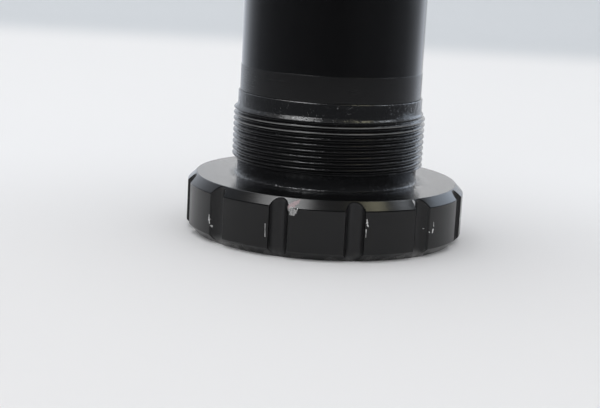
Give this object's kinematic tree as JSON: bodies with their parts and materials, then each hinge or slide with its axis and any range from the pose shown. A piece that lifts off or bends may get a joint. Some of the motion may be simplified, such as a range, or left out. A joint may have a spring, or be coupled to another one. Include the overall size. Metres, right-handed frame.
{
  "type": "bottom bracket",
  "caption": "External-cup bicycle bottom bracket with notched screw-in cups, sealed ball bearings for a 30 mm crank axle, and a centre sleeve.",
  "frame": {"origin": "centre of the non-drive cup's outer face, on which the part stands", "axes": "+Z along the crank axle, from the non-drive cup to the drive cup; +X and -Y each through a tool notch"},
  "size_m": [0.0502, 0.0502, 0.0888],
  "materials": {
    "black_anodised_aluminium": "black anodised, satin, lightly oiled",
    "bearing_steel": "ground",
    "polished_ball_steel": "polished",
    "cage_nylon": "moulded",
    "bearing_seal_rubber": "moulded, matte",
    "dust_cap_plastic": "moulded, fine grain",
    "o_ring_rubber": "greased",
    "wiper_rubber": "moulded, matte",
    "sleeve_plastic": "turned, satin black"
  },
  "bodies": {
    "non_drive_side": {"non_drive_cup": "black_anodised_aluminium", "non_drive_outer_race": "bearing_steel", "non_drive_crank_side_seal": "bearing_seal_rubber", "non_drive_shell_side_seal": "bearing_seal_rubber", "non_drive_dust_cap": "dust_cap_plastic", "non_drive_cap_o_ring": "o_ring_rubber", "non_drive_wiper_seal": "wiper_rubber"},
    "non_drive_inner_race": {"non_drive_inner_race": "bearing_steel"},
    "non_drive_ball_set": {"non_drive_balls": "polished_ball_steel", "non_drive_ball_cage": "cage_nylon"},
    "drive_side": {"drive_cup": "black_anodised_aluminium", "drive_outer_race": "bearing_steel", "drive_crank_side_seal": "bearing_seal_rubber", "drive_shell_side_seal": "bearing_seal_rubber", "drive_dust_cap": "dust_cap_plastic", "drive_cap_o_ring": "o_ring_rubber", "drive_wiper_seal": "wiper_rubber"},
    "drive_inner_race": {"drive_inner_race": "bearing_steel"},
    "drive_ball_set": {"drive_balls": "polished_ball_steel", "drive_ball_cage": "cage_nylon"},
    "centre_sleeve": {"centre_sleeve": "sleeve_plastic"}
  },
  "joints": [
    {"name": "non_drive_race_spin", "type": "hinge", "parent": "non_drive_side", "child": "non_drive_inner_race", "pos_m": [0, 0, 0.0055], "axis": [0, 0, 1], "continuous": true},
    {"name": "non_drive_ball_orbit", "type": "hinge", "parent": "non_drive_side", "child": "non_drive_ball_set", "pos_m": [0, 0, 0.0055], "axis": [0, 0, 1], "continuous": true},
    {"name": "sleeve_turn", "type": "hinge", "parent": "non_drive_side", "child": "centre_sleeve", "pos_m": [0, 0, 0.0444], "axis": [0, 0, 1], "continuous": true},
    {"name": "drive_side_slide", "type": "slide", "parent": "centre_sleeve", "child": "drive_side", "axis": [0, 0, 1], "range_m": [0, 0.005]},
    {"name": "drive_race_spin", "type": "hinge", "parent": "drive_side", "child": "drive_inner_race", "pos_m": [0, 0, 0.0833], "axis": [0, 0, 1], "continuous": true},
    {"name": "drive_ball_orbit", "type": "hinge", "parent": "drive_side", "child": "drive_ball_set", "pos_m": [0, 0, 0.0833], "axis": [0, 0, 1], "continuous": true}
  ],
  "couplings": [
    {"joint": "non_drive_ball_orbit", "follows": "non_drive_race_spin", "ratio": 0.45139},
    {"joint": "drive_ball_orbit", "follows": "drive_race_spin", "ratio": 0.45139}
  ]
}
